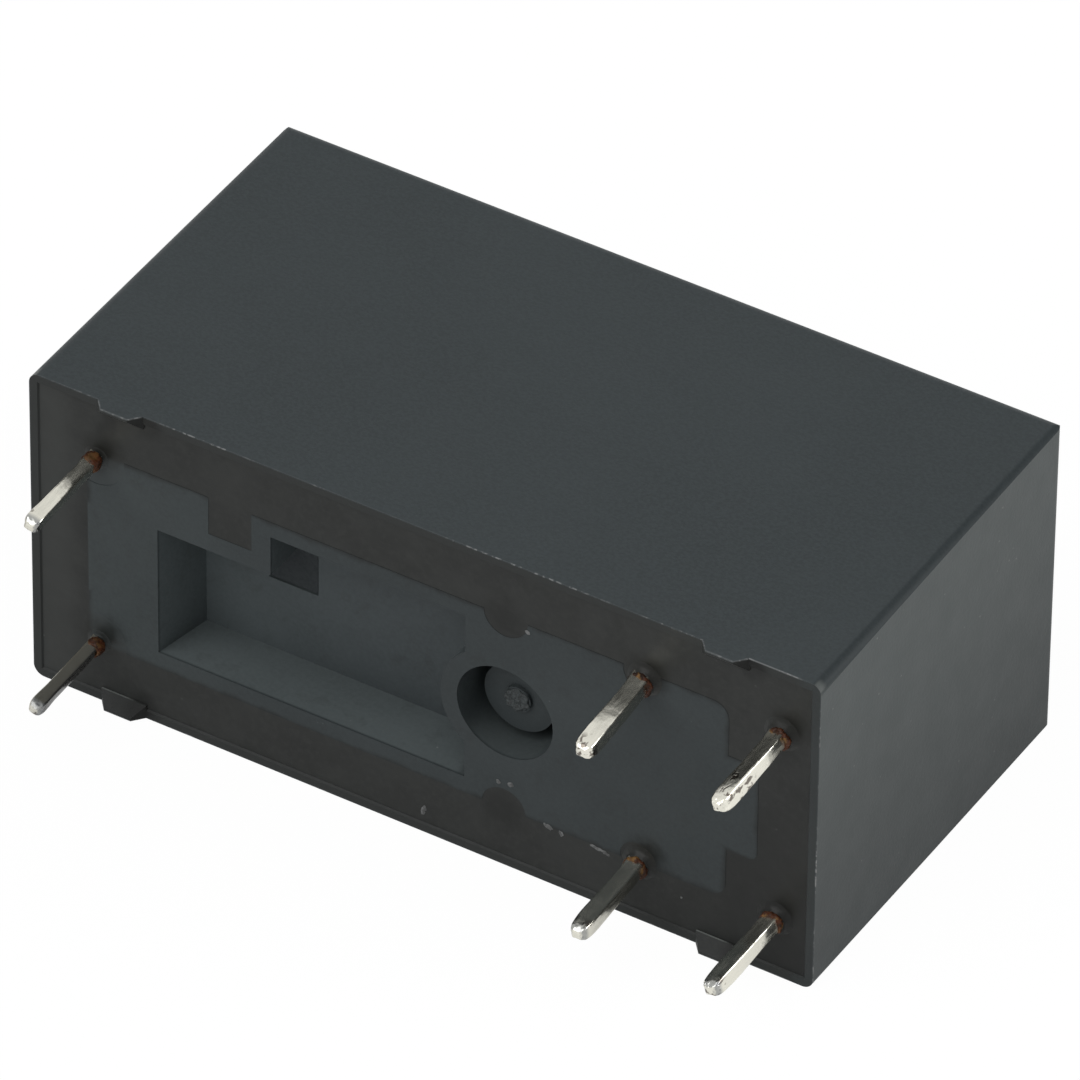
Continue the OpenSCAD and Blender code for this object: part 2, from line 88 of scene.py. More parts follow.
COVER_HIGH = box_mm("cover")[1]
RESIN_Y = box_mm("sealing_resin")[0].y
FACE_Y = box_mm("base")[0].y
RIM_Y = FACE_Y - 0.05
COM_LOW, COM_HIGH = box_mm("com_terminal")
NO_HIGH = box_mm("no_terminal")[1]
SHEET = COM_HIGH.x - COM_LOW.x
COIL_LOW, COIL_HIGH = box_mm("coil_pin_a")
COIL_X = (COIL_LOW.x + COIL_HIGH.x) / 2
ROW_Z = (COIL_LOW.z + COIL_HIGH.z) / 2
COIL_PIN = COIL_HIGH.x - COIL_LOW.x
COM_X = (COM_LOW.x + COM_HIGH.x) / 2
NO_X = NO_HIGH.x - SHEET / 2
PIN_W = 2 * (COM_HIGH.z - 0.15 - ROW_Z)
PIN_TIP = COM_LOW.y
GATE_X = COM_X - 4.9
GATE_END = FACE_Y + 0.88 - 0.12
PIN_PLACES = [(x, s * ROW_Z) for x in (COIL_X, COM_X, NO_X) for s in (1, -1)]
FACE_HALF = 3.9
FACE_ENDS = (COIL_X - 0.3, NO_X - 1.85)
TAB_HALF = 1.9
FOOT_X = COVER_HIGH.x - 3.4
TAB_END = FACE_ENDS[1] + 1.1
NOTCHES = [(GATE_X, FACE_HALF), (GATE_X, -FACE_HALF)]
# Half lengths of a foot at its tip and at the rim
FOOT_TIP = 0.5
FOOT_ROOT = 0.84
# Places in x and z of the painted shadow beside the feet, and of a dark band that runs from a foot
# towards the first coil pin
FOOT_SHADES = [(FOOT_X + 0.95, 5.8), (0.95 - FOOT_X, 5.8), (-0.2 - FOOT_X, 5.4),
               (-0.5 - FOOT_X, 4.75), (FOOT_X + 0.75, -5.7), (0.75 - FOOT_X, -5.7)]

# How far each pin's tip stands aside, in x and z, in the order of PIN_PLACES
PIN_LEANS = ((0.08, -0.12), (0.11, -0.10), (0.22, -0.24),
             (0.13, -0.18), (0.06, -0.22), (-0.06, -0.22))
# Share of the lean that a pin has already at its root, and its length from there to the tip
ROOT_SHARE = 0.55
PIN_REACH = 3.8
# Turn of each pin about its own length, in degrees, in the same order
PIN_TURNS = (14, 14, 0, -3, -16, -15)
# Girth of each pin as a share of its own width, in the same order
PIN_GIRTHS = (1.22, 1.1, 1.16, 1.08, 1.06, 1.06)
# Distance from the tip and width there, as a share of the pin's own width
PIN_SWELL = ((0.0, 0.34), (0.05, 0.66), (0.17, 0.9), (0.4, 1.02),
             (0.9, 1.06), (1.6, 1.03), (2.4, 1.0), (3.2, 0.98))

# Heights above the resin's face where a dipped pin begins and where the bare one is cut off
PIN_ROOT = 0.7
PIN_CUT = 0.5
# The first pins are the coil's, with a ball of tin at the tip and lower mounds
COIL_PINS = 2
COIL_BALL = 1.14
COIL_MOUND = 0.7
COIL_RISE = 0.3
# Collars of the coil pins and of the others: share of the radius, share of the mound's height
# that they stand on, and height added
COLLARS = ((0.68, 0.29, 0.3), (0.96, 0.95, 0.0))

# Dark olive patch beside the pins, and how far it lies aside in millimetres
PIN_PATCH = (0.0070, 0.0069, 0.0055)
PIN_PATCH_SHIFT = (0.32, 0.0, 0.28)
# Place in x and z, half length, half width and turn in degrees of each crumb, and its half height
CRUMBS = (
    (4.75, -3.92, 0.2, 0.1, 20), (5.2, -3.98, 0.12, 0.07, 70), (6.5, -4.0, 0.26, 0.07, 15),
    (6.85, -4.06, 0.14, 0.06, 30), (2.9, -2.9, 0.1, 0.08, 50), (3.35, -2.82, 0.11, 0.1, 5),
    (0.15, -5.35, 0.1, 0.18, 10), (3.9, 3.62, 0.1, 0.07, 40), (9.6, -4.6, 0.06, 0.05, 0),
)
CRUMB_RISE = 0.035

# Pitch of the coil's wire in millimetres
WIRE = 0.12
# Steps of the contact leaf
LEAF_STEPS = 16

# Name, place and size of each lamp, and the point that they face, in metres
LAMPS = (("key_light", (-0.13, -0.45, 0.61), 0.8), ("side_light", (0.50, 0.24, 0.16), 0.3))
LIT_POINT = (0, 0.008, 0)
WHITE = (1, 1, 1)


# Settings

COLOUR = {"subtype": "COLOR", "size": 3, "min": 0, "max": 1}


class RelayPlastics(bpy.types.PropertyGroup):
    """Colours of the moulded and cast pieces."""

    cover: FloatVectorProperty(
        name="Cover", description="Charcoal moulding of the cover",
        default=(0.0232, 0.0284, 0.0302), **COLOUR)
    base: FloatVectorProperty(
        name="Base", description="Bluish moulding of the base",
        default=(0.0400, 0.0480, 0.0495), **COLOUR)
    resin: FloatVectorProperty(
        name="Resin", description="Casting resin in the trough",
        default=(0.0160, 0.0171, 0.0163), **COLOUR)
    burr: FloatVectorProperty(
        name="Burr", description="Pale broken line on the rim's edges",
        default=(0.170, 0.175, 0.175), **COLOUR)
    flux: FloatVectorProperty(
        name="Flux", description="Red-brown flux at the pin roots",
        default=(0.055, 0.019, 0.009), **COLOUR)


class RelayMetals(bpy.types.PropertyGroup):
    """Colours of the metals."""

    tin: FloatVectorProperty(
        name="Tin", description="Dipped tin on the pins",
        default=(0.70, 0.685, 0.605), **COLOUR)
    copper: FloatVectorProperty(
        name="Copper", description="Copper alloy under the tin",
        default=(0.62, 0.42, 0.22), **COLOUR)
    steel: FloatVectorProperty(
        name="Steel", description="Magnet steel",
        default=(0.46, 0.46, 0.45), **COLOUR)
    silver: FloatVectorProperty(
        name="Silver", description="Contact silver",
        default=(0.82, 0.81, 0.78), **COLOUR)


class RelayPins(bpy.types.PropertyGroup):
    """Shape of the dipped pins and what gathers at their roots."""

    wave: FloatProperty(
        name="Solder waves", description="Height of the uneven tin", unit="LENGTH",
        min=0, max=0.0002, default=0.000025)
    lean: FloatProperty(
        name="Lean", description="Share of the measured lean that the pins show", subtype="FACTOR",
        min=0, max=1, default=1.0)
    flux_r: FloatProperty(
        name="Flux radius", description="Radius of a flux collar", unit="LENGTH",
        min=0.0003, max=0.0008, default=0.00046)
    flux_h: FloatProperty(
        name="Flux height", description="Height of a flux collar", unit="LENGTH",
        min=0.0001, max=0.0006, default=0.00018)
    mound_r: FloatProperty(
        name="Mound radius", description="Radius of the resin drawn up round a pin", unit="LENGTH",
        min=0.0005, max=0.0014, default=0.00078)
    mound_h: FloatProperty(
        name="Mound height", description="Height of the resin drawn up round a pin", unit="LENGTH",
        min=0.0001, max=0.0004, default=0.00024)


class RelayStage(bpy.types.PropertyGroup):
    """Camera and light."""

    target: FloatVectorProperty(
        name="Target", description="Point in the middle of the picture", subtype="TRANSLATION",
        unit="LENGTH", size=3, default=(-0.000193, 0.007920, 0.000297))
    azimuth: FloatProperty(
        name="Azimuth", description="Turn of the camera to the right", subtype="ANGLE",
        default=math.radians(31.03))
    elevation: FloatProperty(
        name="Elevation", description="Height of the camera as an angle", subtype="ANGLE",
        default=math.radians(39.56))
    roll: FloatProperty(
        name="Roll", description="Tilt of the picture", subtype="ANGLE", default=math.radians(0.71))
    distance: FloatProperty(
        name="Distance", description="Camera to target", unit="LENGTH", default=0.44427)
    lens: FloatProperty(
        name="Lens", description="Focal length", unit="CAMERA", default=470.33)
    key: FloatProperty(
        name="Key light", description="Power of the large soft lamp above the front",
        unit="POWER", default=5.6)
    fill: FloatProperty(
        name="Side light", description="Power of the soft lamp behind the right end",
        unit="POWER", default=3.0)
    sky: FloatProperty(
        name="Sky", description="Level of the even light from all round",
        min=0, max=1, default=0.42)


class RelaySettings(bpy.types.PropertyGroup):
    """All settings of the relay."""

    plastics: PointerProperty(type=RelayPlastics)
    metals: PointerProperty(type=RelayMetals)
    pins: PointerProperty(type=RelayPins)
    stage: PointerProperty(type=RelayStage)


def settings():
    return bpy.context.scene.relay


# Nodes


class Net:
    """Places and joins the nodes of one tree."""

    def __init__(self, tree):
        self.tree = tree
        tree.nodes.clear()

    def node(self, kind, **options):
        made = self.tree.nodes.new(kind)
        for name, value in options.items():
            setattr(made, name, value)
        return made

    def put(self, socket, value):
        if isinstance(value, bpy.types.NodeSocket):
            self.tree.links.new(value, socket)
        elif hasattr(socket.default_value, "__len__") and len(socket.default_value) == 4:
            socket.default_value = (*value[:3], 1)
        else:
            socket.default_value = value

    def fill(self, made, *values):
        for socket, value in zip(made.inputs, values):
            self.put(socket, value)
        return made.outputs

    def feed(self, made, **values):
        for label, value in values.items():
            self.put(made.inputs[label.capitalize()], value)
        return made.outputs

    def math(self, operation, a, b=0.0):
        return self.fill(self.node("ShaderNodeMath", operation=operation), a, b)[0]

    def times(self, a, b):
        return self.math("MULTIPLY", a, b)

    def plus(self, a, b):
        return self.math("ADD", a, b)

    def less(self, a, b):
        return self.math("SUBTRACT", a, b)

    def most(self, a, b):
        return self.math("MAXIMUM", a, b)

    def least(self, a, b):
        return self.math("MINIMUM", a, b)

    def size(self, value):
        return self.math("ABSOLUTE", value)

    def vector(self, operation, a, b=(0, 0, 0), scale=1.0):
        made = self.node("ShaderNodeVectorMath", operation=operation)
        self.put(made.inputs[0], a)
        if operation == "SCALE":
            self.put(made.inputs["Scale"], scale)
        else:
            self.put(made.inputs[1], b)
        return made.outputs["Value" if operation == "DISTANCE" else "Vector"]

    def span(self, value, low, high, to_low=0.0, to_high=1.0):
        made = self.node("ShaderNodeMapRange", interpolation_type="SMOOTHSTEP")
        return self.fill(made, value, low, high, to_low, to_high)[0]

    def noise(self, vector, scale, detail=3.0, roughness=0.55):
        made = self.node("ShaderNodeTexNoise")
        return self.feed(made, vector=vector, scale=scale, detail=detail, roughness=roughness)[0]

    def cells(self, vector, scale):
        return self.feed(self.node("ShaderNodeTexVoronoi"), vector=vector, scale=scale)["Distance"]

    def mix(self, factor, a, b, way="MIX"):
        made = self.node("ShaderNodeMix", data_type="RGBA", blend_type=way)
        for place, value in ((0, factor), (6, a), (7, b)):
            self.put(made.inputs[place], value)
        return made.outputs[2]

    def axes(self, vector):
        return self.fill(self.node("ShaderNodeSeparateXYZ"), vector)

    def join(self, x, y, z):
        return self.fill(self.node("ShaderNodeCombineXYZ"), x, y, z)[0]

    def group(self, name, **values):
        made = self.node("ShaderNodeGroup", node_tree=bpy.data.node_groups[name])
        return self.feed(made, **values)

    def cloud(self, place, size, low, high):
        return self.group("Cloudy tone", place=place, size=size, low=low, high=high)["Mask"]

    def specks(self, place, size, share, radius):
        return self.group("Fine specks", place=place, size=size, share=share, radius=radius)["Mask"]

    def reach(self, name, place):
        return self.group(name, place=place)["Distance"]

    def ragged(self, value, place, size, amount, detail=3.0):
        """A value made uneven, so that its borders are ragged."""
        return self.plus(value, self.times(self.noise(place, size, detail), amount))

    def bump(self, height, distance, strength):
        made = self.node("ShaderNodeBump")
        return self.feed(made, strength=strength, distance=distance, height=height)[0]


def new_group(name, outputs, **inputs):
    """A node group with its sockets, the place first, and the net to fill."""
    group = bpy.data.node_groups.new(name, "ShaderNodeTree")
    add = group.interface.new_socket
    add(name="Place", in_out="INPUT", socket_type="NodeSocketVector")
    for label, start in inputs.items():
        kind = "Vector" if isinstance(start, tuple) else "Float"
        socket = add(name=label, in_out="INPUT", socket_type="NodeSocket" + kind)
        socket.default_value = start
    for label in outputs:
        add(name=label, in_out="OUTPUT", socket_type="NodeSocketFloat")
    net = Net(group)
    return net, net.node("NodeGroupInput").outputs, net.node("NodeGroupOutput").inputs


def make_groups():
    """The effects that several finishes share."""
    net, given, out = new_group("Moulded grain", ("Height", "Tone"), Grain=9.0, Peel=1.1)
    fine = net.noise(given["Place"], given["Grain"], 2.0, 0.6)
    broad = net.noise(given["Place"], given["Peel"], 3.0, 0.5)
    net.put(out["Height"], net.plus(net.times(fine, 0.55), net.times(broad, 0.45)))
    net.put(out["Tone"], net.span(fine, 0.28, 0.72))

    net, given, out = new_group("Cloudy tone", ("Mask",), Size=0.5, Low=0.35, High=0.65)
    warp = net.noise(given["Place"], net.times(given["Size"], 2.3), 2.0)
    moved = net.vector("ADD", given["Place"], net.join(net.times(warp, 0.8), 0.0, warp))
    cloud = net.noise(moved, given["Size"], 4.0, 0.6)
    net.put(out["Mask"], net.span(cloud, given["Low"], given["High"]))

    for name, places in (
            ("Pin distance", PIN_PLACES), ("Notch distance", NOTCHES), ("Foot shade", FOOT_SHADES)):
        net, given, out = new_group(name, ("Distance",))
        flat = net.vector("MULTIPLY", given["Place"], (1, 0, 1))
        nearest = None
        for x, z in places:
            reach = net.vector("DISTANCE", flat, (x, 0, z))
            nearest = reach if nearest is None else net.least(nearest, reach)
        net.put(out["Distance"], nearest)

    net, given, out = new_group("Fine specks", ("Mask",), Size=2.0, Share=0.6, Radius=0.12)
    cells = net.cells(given["Place"], given["Size"])
    dot = net.span(cells, given["Radius"], net.times(given["Radius"], 0.4))
    spread = net.noise(given["Place"], net.times(given["Size"], 0.31), 2.0)
    patch = net.span(spread, given["Share"], net.plus(given["Share"], 0.06))
    net.put(out["Mask"], net.times(dot, patch))

    net, given, out = new_group("Drawn lines", ("Height", "Mask"), Stretch=(1, 12, 1), Size=3.0)
    pulled = net.vector("MULTIPLY", given["Place"], given["Stretch"])
    lines = net.noise(pulled, given["Size"], 4.0, 0.65)
    net.put(out["Height"], lines)
    net.put(out["Mask"], net.span(lines, 0.38, 0.66))


def new_finish(name, metallic=0.0, specular=0.5, coat=0.0, coat_roughness=0.1):
    """A material's net, its shader's sockets and the place on the surface in millimetres."""
    material = bpy.data.materials.new(name)
    material.use_nodes = True
    net = Net(material.node_tree)
    net.material = material
    shader = net.node("ShaderNodeBsdfPrincipled")
    for label, level in (("Metallic", metallic), ("Specular IOR Level", specular),
                         ("Coat Weight", coat), ("Coat Roughness", coat_roughness)):
        net.put(shader.inputs[label], level)
    output = net.node("ShaderNodeOutputMaterial")
    net.put(output.inputs["Surface"], shader.outputs[0])
    place = net.vector("SCALE", net.node("ShaderNodeTexCoord").outputs["Object"], scale=MM)
    return net, shader.inputs, place


def complete(net, shader, colour, rough, *bump):
    """Joins colour, roughness and bump to a finish's shader, and hands back the material."""
    net.put(shader["Base Color"], colour)
    net.put(shader["Roughness"], rough)
    net.put(shader["Normal"], net.bump(*bump))
    return net.material


def shade(colour, factor):
    return tuple(min(1.0, c * factor) for c in colour[:3])


def cover_plastic():
    """Matt charcoal moulding with a pale broken burr along the rim, and painted light and shade at
    the rim, the feet, the end face and the edge between the end face and the top.
    """
    tones = settings().plastics
    net, shader, place = new_finish("Cover plastic", specular=0.13)
    grain = net.group("Moulded grain", place=place, grain=8.0, peel=0.7)
    cloud = net.cloud(place, 0.13, 0.3, 0.7)
    colour = net.mix(cloud, shade(tones.cover, 0.94), shade(tones.cover, 1.06))
    colour = net.mix(net.times(grain["Tone"], 0.6), colour, shade(tones.cover, 1.4))
    dust = net.specks(place, 0.9, 0.6, 0.07)
    colour = net.mix(net.times(dust, 0.4), colour, tones.burr)
    x, y, z = net.axes(place)
    normal = net.axes(net.node("ShaderNodeTexCoord").outputs["Normal"])
    # Film of resin on the inside of the rim, with painted light on the rim's inner walls and
    # painted shade on the film's faces that look up
    side = net.span(net.size(z), COVER_HIGH.z - 0.05, COVER_HIGH.z - 0.01)
    end = net.span(net.size(x), COVER_HIGH.x - 0.05, COVER_HIGH.x - 0.01)
    outer = net.most(side, end)
    inside = net.less(1.0, outer)
    lit_wall = net.span(normal["Y"], -0.6, -0.3)
    film = net.times(inside, net.span(y, RIM_Y + 0.45, RIM_Y + 0.1, 0.0, 0.9))
    film = net.times(film, net.span(x, COVER_HIGH.x - 1.0, COVER_HIGH.x - 0.5, 1.0, 0.6))
    film_and_painted_light = net.mix(lit_wall, shade(tones.resin, 1.15), shade(tones.resin, 11.0))
    colour = net.mix(film, colour, film_and_painted_light)
    painted_shade_up = net.times(film, net.span(normal["Z"], 0.35, 0.55, 0.0, 0.4))
    colour = net.mix(painted_shade_up, colour, shade(tones.resin, 0.3))
    # Painted shadow beside the feet, and painted shade on the feet's flanks that look to +x
    low = net.span(y, RIM_Y + 0.3, RIM_Y + 0.05)
    shadow = net.ragged(net.reach("Foot shade", place), place, 2.0, 0.4)
    shadow = net.times(net.times(low, inside), net.span(shadow, 1.0, 0.45))
    flank = net.times(net.span(normal["X"], 0.25, 0.5), net.span(y, RIM_Y + 0.03, RIM_Y - 0.03))
    dark = net.times(net.most(shadow, flank), 0.85)
    colour = net.mix(dark, colour, shade(tones.resin, 0.3))
    # Burr along the rim and round the feet
    band = net.times(net.span(y, RIM_Y - 0.02, RIM_Y - 0.002),
                     net.span(y, RIM_Y + 0.05, RIM_Y + 0.01))
    foot = net.size(net.less(net.size(x), FOOT_X))
    band = net.times(band, net.span(foot, FOOT_ROOT - 0.04, FOOT_ROOT))
    run = net.times(net.span(x, FOOT_X + 0.8, FOOT_X + 1.0),
                    net.span(x, COVER_HIGH.x - 0.6, COVER_HIGH.x - 0.9))
    fleck = net.span(net.noise(place, 6.5), 0.47, 0.62)
    patch = net.times(net.span(net.noise(place, 0.42, 2.0), 0.46, 0.62),
                      net.span(x, -12.0, -8.0, 0.3, 1.0))
    line = net.times(net.most(patch, run), net.most(fleck, net.times(run, 0.6)))
    line = net.times(band, net.plus(net.times(line, 0.75), 0.05))
    slope = (FOOT_ROOT - FOOT_TIP) / RIM_Y
    toe = net.least(y, net.less(net.plus(net.times(y, slope), FOOT_TIP), foot))
    toe = net.times(net.span(toe, 0.07, 0.02), net.span(y, RIM_Y, RIM_Y - 0.05))
    toe = net.times(toe, net.plus(net.times(fleck, 0.4), 0.2))
    burr = net.times(outer, net.most(line, toe))
    colour = net.mix(burr, colour, tones.burr)
    # Chalky end face, painted light that grows towards high z on the end face, and painted shade
    # along the rounded edge between the end face and the top
    plain = net.span(normal["X"], 0.9, 0.98)
    chalk = net.specks(place, 1.9, 0.5, 0.09)
    colour = net.mix(net.times(net.times(chalk, plain), 0.35), colour, tones.burr)
    painted_light_fall = net.mix(net.span(z, -6.0, 6.0), (0.82, 0.78, 0.74), (1.28, 1.22, 1.14))
    colour = net.mix(plain, colour, painted_light_fall, "MULTIPLY")
    shaded_edge = net.span(net.times(normal["X"], normal["Z"]), 0.06, 0.4)
    colour = net.mix(net.times(shaded_edge, 0.4), colour, shade(tones.cover, 0.4))
    net.put(shader["Specular IOR Level"], net.span(shaded_edge, 0.0, 1.0, 0.13, 0.06))
    return complete(net, shader, colour, net.span(grain["Height"], 0.3, 0.7, 0.40, 0.50),
                    grain["Height"], 0.000014, 0.7)


def base_plastic():
    """Satin bluish moulding, filmed with resin along its border, with dark olive patches near the
    pins and painted light and shade on its face and recess.
    """
    tones = settings().plastics
    net, shader, place = new_finish("Base plastic", specular=0.13)
    grain = net.group("Moulded grain", place=place, grain=7.0, peel=0.9)
    cloud = net.cloud(place, 0.35, 0.32, 0.68)
    colour = net.mix(cloud, shade(tones.base, 0.92), shade(tones.base, 1.07))
    colour = net.mix(net.times(grain["Tone"], 0.35), colour, shade(tones.base, 1.25))
    smear = net.cloud(place, 1.4, 0.52, 0.75)
    colour = net.mix(net.times(smear, 0.25), colour, tones.resin)
    x, y, z = net.axes(place)
    normal = net.node("ShaderNodeTexCoord").outputs["Normal"]
    # Film of resin along the border
    front = net.span(y, FACE_Y + 0.3, FACE_Y + 0.05)
    side = net.less(net.size(z), FACE_HALF)
    ends = net.most(net.less(FACE_ENDS[0], x), net.less(x, FACE_ENDS[1]))
    tab = net.most(net.less(net.size(z), TAB_HALF), net.less(x, TAB_END))
    border = net.least(net.most(side, ends), tab)
    ragged = net.ragged(border, place, 1.3, 0.4)
    film = net.times(net.span(ragged, -0.02, 0.3), front)
    colour = net.mix(net.times(film, 0.85), colour, shade(tones.resin, 1.05))
    # Dark olive patch beside each pin, set off to one side
    reach = net.reach("Pin distance", net.vector("SUBTRACT", place, PIN_PATCH_SHIFT))
    near = net.ragged(reach, place, 2.2, 0.7)
    colour = net.mix(net.span(near, 1.4, 0.5, 0.0, 0.85), colour, PIN_PATCH)
    specks = net.specks(place, 1.6, 0.6, 0.07)
    colour = net.mix(net.times(specks, 0.25), colour, tones.burr)
    # Painted light and shade: the face darker, more so towards high x, the recess floor lighter,
    # and the ledges that look up inside it lighter still
    deep = net.span(y, FACE_Y + 0.02, FACE_Y + 0.12)
    lit_recess = net.times(deep, net.span(x, GATE_X - 1.6, GATE_X - 1.9))
    face = net.mix(net.span(x, -11.0, -5.0), (0.75, 0.75, 0.75), (0.63, 0.63, 0.64))
    floor = net.mix(net.span(x, -9.0, -2.0), (1.27, 1.26, 1.27), (1.05, 1.03, 1.05))
    painted_light_tone = net.mix(lit_recess, face, floor)
    ledge = net.times(deep, net.span(net.axes(normal)["Z"], 0.5, 0.9))
    lit = net.mix(lit_recess, (1.05, 1.03, 1.02), (1.60, 1.57, 1.56))
    painted_light_tone = net.mix(ledge, painted_light_tone, lit)
    colour = net.mix(1.0, colour, painted_light_tone, "MULTIPLY")
    satin = net.plus(grain["Height"], net.times(smear, 0.2))
    return complete(net, shader, colour, net.span(satin, 0.3, 0.8, 0.58, 0.48),
                    grain["Height"], 0.000011, 0.45)


def casting_resin():
    """Clouded grey casting resin, glossier than the mouldings, with dark olive patches at the pins
    and painted shade in its notches and painted shadow beside the feet.
    """
    tones = settings().plastics
    net, shader, place = new_finish("Casting resin", specular=0.15)
    cloud = net.cloud(place, 0.55, 0.3, 0.7)
    colour = net.mix(cloud, shade(tones.resin, 0.85), shade(tones.resin, 1.12))
    fine = net.noise(place, 5.0)
    colour = net.mix(net.span(fine, 0.45, 0.7, 0.0, 0.4), colour, shade(tones.resin, 1.4))
    x, _, z = net.axes(place)
    # Paler end, and the base's tone beside the coil pins
    pale = net.span(net.ragged(x, place, 0.8, 1.2, 2.0), -11.7, -12.9)
    colour = net.mix(net.times(pale, 0.8), colour, shade(tones.resin, 1.65))
    border = net.most(net.less(net.size(z), FACE_HALF), net.less(FACE_ENDS[0], x))
    inner = net.times(net.span(border, 0.08, -0.2), net.span(x, COIL_X + 1.4, COIL_X + 1.0))
    colour = net.mix(inner, colour, shade(tones.base, 0.72))
    # Dark olive patch beside each pin, set off to one side
    reach = net.reach("Pin distance", net.vector("SUBTRACT", place, PIN_PATCH_SHIFT))
    ragged = net.ragged(reach, place, 1.9, 0.8)
    colour = net.mix(net.span(ragged, 1.4, 0.5, 0.0, 0.75), colour, PIN_PATCH)
    # Painted shade in the notches, painted shadow beside the feet, and a darker corner towards high
    # x and low z
    notch_shade = net.reach("Notch distance", place)
    notch_shade = net.ragged(notch_shade, place, 1.7, 0.9)
    colour = net.mix(net.span(notch_shade, 1.6, 0.6, 0.0, 0.6), colour, shade(tones.resin, 0.45))
    shadow = net.ragged(net.reach("Foot shade", place), place, 2.0, 0.4)
    colour = net.mix(net.span(shadow, 0.9, 0.45, 0.0, 0.6), colour, shade(tones.resin, 0.4))
    corner = net.times(net.span(x, 8.5, 12.0), net.span(z, 1.5, -1.5))
    colour = net.mix(net.times(corner, 0.6), colour, shade(tones.resin, 0.45))
    bubbles = net.specks(place, 1.3, 0.55, 0.09)
    colour = net.mix(net.times(bubbles, 0.3), colour, shade(tones.burr, 0.7))
    swell = net.plus(net.noise(place, 0.7, 2.0), net.times(fine, 0.08))
    return complete(net, shader, colour, net.span(net.noise(place, 1.3), 0.3, 0.7, 0.36, 0.50),
                    swell, 0.00006, 0.5)


def tinned_metal():
    """Smooth dipped tin outside, bare copper alloy inside the body."""
    tones = settings().metals
    net, shader, place = new_finish("Tinned metal", metallic=1.0)
    x, y, z = net.axes(place)
    lines = net.group("Drawn lines", place=place, stretch=(2.4, 0.35, 2.4), size=2.0)
    tin = net.mix(net.times(lines["Mask"], 0.35), tones.tin, shade(tones.tin, 0.84))
    # Burnt dross and soot
    drawn = net.vector("MULTIPLY", place, (1.0, 0.6, 1.0))
    cracks = net.span(net.noise(drawn, 3.4, 2.0, 0.7), 0.47, 0.40)
    burnt = net.span(net.vector("DISTANCE", place, (NO_X - 0.1, -2.6, ROW_Z + 0.1)), 1.25, 0.75)
    dross = net.times(cracks, net.most(burnt, net.span(y, -2.75, -3.2)))
    tin = net.mix(net.times(dross, 0.85), tin, (0.07, 0.05, 0.04))
    soot = net.times(net.span(y, -0.5, 0.35), net.span(net.noise(place, 2.4), 0.38, 0.62))
    tin = net.mix(net.times(soot, 0.35), tin, (0.30, 0.27, 0.20))
    normal = net.axes(net.node("ShaderNodeTexCoord").outputs["Normal"])
    # Painted shade on the lower coil pin: painted grey, less metallic, and darker on its faces that
    # look to +x; painted shade as grey rims on tips that stand before white; and a painted
    # yellowish reflection on the coil pins' faces that look to -x
    coil = net.span(x, COIL_X + 1.2, COIL_X + 1.0)
    row = net.span(z, -0.2, 0.2, 1.0, 0.0)
    lower = net.times(coil, row)
    grey = net.mix(net.span(normal["X"], 0.2, 0.6), (0.082, 0.080, 0.068), (0.02, 0.02, 0.02))
    tin = net.mix(net.times(lower, net.span(y, PIN_TIP + 0.1, PIN_TIP + 0.3, 0.3, 0.97)), tin, grey)
    painted_rim = net.times(net.span(normal["Y"], -0.95, -0.7), net.span(y, PIN_TIP + 0.4, PIN_TIP + 0.2))
    painted_rim = net.times(net.most(coil, row), painted_rim)
    tin = net.mix(net.times(painted_rim, 0.7), tin, (0.19, 0.20, 0.21))
    net.put(shader["Metallic"], net.less(1.0, net.times(lower, 0.75)))
    edge = net.times(coil, net.span(normal["X"], -0.3, -0.8))
    tin = net.mix(net.times(edge, 0.5), tin, (0.42, 0.36, 0.22))
    colour = net.mix(net.span(y, 0.9, 1.4), tin, tones.copper)
    dull = net.plus(net.times(lines["Mask"], 0.12), net.times(soot, 0.2))
    waves = net.plus(net.noise(place, 2.2, 2.0), net.times(dross, -0.5))
    return complete(net, shader, colour, net.plus(dull, 0.15), waves, 0.00004, 0.2)


def amber_flux():
    """Burnt red-brown flux with golden streaks."""
    tones = settings().plastics
    net, shader, place = new_finish("Amber flux", specular=0.1)
    cloud = net.cloud(place, 3.2, 0.36, 0.6)
    colour = net.mix(cloud, (0.016, 0.009, 0.006), tones.flux)
    reach = net.reach("Pin distance", place)
    streak = net.times(net.span(net.noise(place, 2.8), 0.48, 0.58),
                       net.span(reach, 0.45, 0.37))
    gold = net.span(net.axes(place)["X"], COIL_X + 1.0, COIL_X + 1.4, 0.3, 0.8)
    colour = net.mix(net.times(streak, gold), colour, (0.135, 0.075, 0.025))
    return complete(net, shader, colour, net.span(cloud, 0.0, 1.0, 0.46, 0.28),
                    net.noise(place, 7.0), 0.00005, 0.5)


def gate_break():
    """Torn plastic where the moulding gate broke off."""
    tones = settings().plastics
    net, shader, place = new_finish("Gate break", specular=0.3)
    tears = net.group("Moulded grain", place=place, grain=9.0, peel=4.5)
    colour = net.mix(tears["Tone"], shade(tones.base, 0.26), shade(tones.base, 0.82))
    chips = net.specks(place, 5.0, 0.5, 0.2)
    colour = net.mix(net.times(chips, 0.5), colour, shade(tones.burr, 0.7))
    return complete(net, shader, colour, 0.6, tears["Height"], 0.00006, 0.7)


def pale_crumbs():
    """Crumbs of pale flash left on the sealed face."""
    tones = settings().plastics
    net, shader, place = new_finish("Pale crumbs", specular=0.3)
    cloud = net.cloud(place, 3.0, 0.35, 0.65)
    colour = net.mix(cloud, shade(tones.burr, 0.3), shade(tones.burr, 0.62))
    return complete(net, shader, colour, 0.65, cloud, 0.00002, 0.5)


